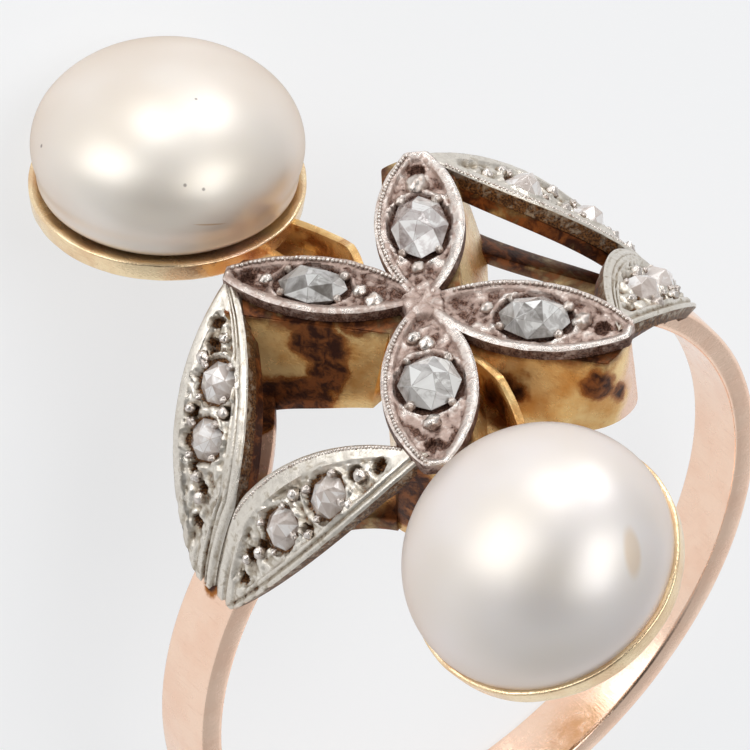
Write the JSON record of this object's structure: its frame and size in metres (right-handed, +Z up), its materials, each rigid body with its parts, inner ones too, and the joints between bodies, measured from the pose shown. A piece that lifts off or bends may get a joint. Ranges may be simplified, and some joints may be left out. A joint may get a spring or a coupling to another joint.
{
  "type": "toi et moi ring",
  "caption": "Antique toi et moi ring: two button pearls in gold cups beside a silver flower head of petals and leaves set with rose-cut stones, on a plain rose gold band.",
  "frame": {"origin": "on the table, under the centre of the box around the ring as it lies on its side", "axes": "+Z up from the table; +X along the longest side of the ring's footprint, towards the bottom of the band; +Y across it; the finger hole runs steeply down and back towards -X, 31 degrees off the vertical"},
  "size_m": [0.0254, 0.0186, 0.0228],
  "materials": {
    "rose_gold": "polished, tarnished brown in the recesses of the head",
    "silver": "worn, tarnished brown in the beds",
    "pearl": "soft lustre",
    "rose_cut_stone": "polished facets"
  },
  "bodies": {
    "root": {"gold_frame": "rose_gold", "silver_top": "silver", "far_pearl": "pearl", "near_pearl": "pearl", "petal_stone_1": "rose_cut_stone", "petal_stone_2": "rose_cut_stone", "petal_stone_3": "rose_cut_stone", "petal_stone_4": "rose_cut_stone", "leaf_stone_1": "rose_cut_stone", "leaf_stone_2": "rose_cut_stone", "leaf_stone_3": "rose_cut_stone", "leaf_stone_4": "rose_cut_stone", "leaf_stone_5": "rose_cut_stone", "leaf_stone_6": "rose_cut_stone", "leaf_stone_7": "rose_cut_stone", "leaf_stone_8": "rose_cut_stone"}
  },
  "joints": []
}
